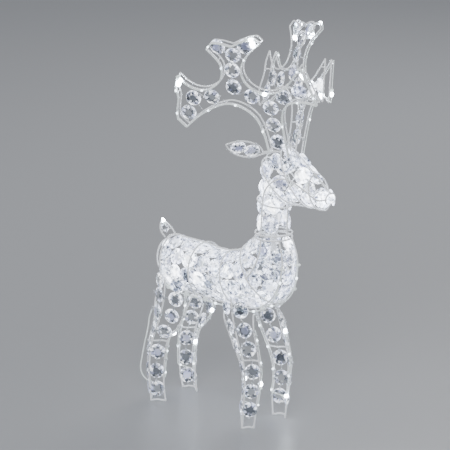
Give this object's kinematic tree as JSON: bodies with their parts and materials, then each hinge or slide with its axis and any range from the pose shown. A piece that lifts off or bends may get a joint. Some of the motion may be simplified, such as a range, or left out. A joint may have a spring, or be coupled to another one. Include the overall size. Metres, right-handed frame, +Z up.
{
  "type": "light up yard reindeer",
  "caption": "Standing wire-frame reindeer hung with clear faceted discs and LED strings, with a turning head and neck and branched antlers.",
  "frame": {"origin": "on the ground, at the middle of the reindeer's footprint box", "axes": "+X the way the reindeer faces, +Y its left, +Z up"},
  "size_m": [0.5252, 0.3146, 0.8937],
  "materials": {
    "white_wire": "white powder coat on steel wire",
    "clear_acrylic": "clear moulded acrylic, faceted and glossy",
    "led_string": "clear cable with lit cool-white LEDs",
    "clear_cable": "clear PVC cable",
    "clear_plastic": "clear moulded plastic"
  },
  "bodies": {
    "body": {"chest_row": "clear_acrylic", "front_leg_left": "white_wire", "front_leg_left_front_row": "clear_acrylic", "front_leg_left_rear_row": "clear_acrylic", "front_leg_right": "white_wire", "front_leg_right_front_row": "clear_acrylic", "front_leg_right_rear_row": "clear_acrylic", "hind_leg_left": "white_wire", "hind_leg_left_front_row": "clear_acrylic", "hind_leg_left_rear_row": "clear_acrylic", "hind_leg_right": "white_wire", "hind_leg_right_front_row": "clear_acrylic", "hind_leg_right_rear_row": "clear_acrylic", "lead_cable": "clear_cable", "lead_relief": "clear_plastic", "leg_lights_front_left": "led_string", "leg_lights_front_right": "led_string", "leg_lights_hind_left": "led_string", "leg_lights_hind_right": "led_string", "neck_post": "white_wire", "power_inlet": "clear_plastic", "rump_row": "clear_acrylic", "tail_crystal": "clear_acrylic", "tail_frame": "white_wire", "torso_frame": "white_wire", "torso_lights": "led_string", "torso_row_left_1": "clear_acrylic", "torso_row_left_2": "clear_acrylic", "torso_row_left_3": "clear_acrylic", "torso_row_left_4": "clear_acrylic", "torso_row_right_1": "clear_acrylic", "torso_row_right_2": "clear_acrylic", "torso_row_right_3": "clear_acrylic", "torso_row_right_4": "clear_acrylic"},
    "head": {"antler_back_left": "clear_acrylic", "antler_back_right": "clear_acrylic", "antler_crown_left": "clear_acrylic", "antler_crown_right": "clear_acrylic", "antler_frame_left": "white_wire", "antler_frame_right": "white_wire", "antler_front_left": "clear_acrylic", "antler_front_right": "clear_acrylic", "antler_lights_left": "led_string", "antler_lights_right": "led_string", "antler_stem_left": "clear_acrylic", "antler_stem_right": "clear_acrylic", "ear_crystals_left": "clear_acrylic", "ear_crystals_right": "clear_acrylic", "ear_frame_left": "white_wire", "ear_frame_right": "white_wire", "head_frame": "white_wire", "head_lights": "led_string", "head_row_left_lower": "clear_acrylic", "head_row_left_upper": "clear_acrylic", "head_row_right_lower": "clear_acrylic", "head_row_right_upper": "clear_acrylic", "neck_row_back": "clear_acrylic", "neck_row_front": "clear_acrylic", "neck_sleeve": "white_wire", "nose_crystal": "clear_acrylic"}
  },
  "joints": [
    {"name": "head_turn", "type": "hinge", "parent": "body", "child": "head", "pos_m": [0.087, 0, 0.43], "axis": [0, 0, 1], "range_deg": [-35, 35]}
  ]
}
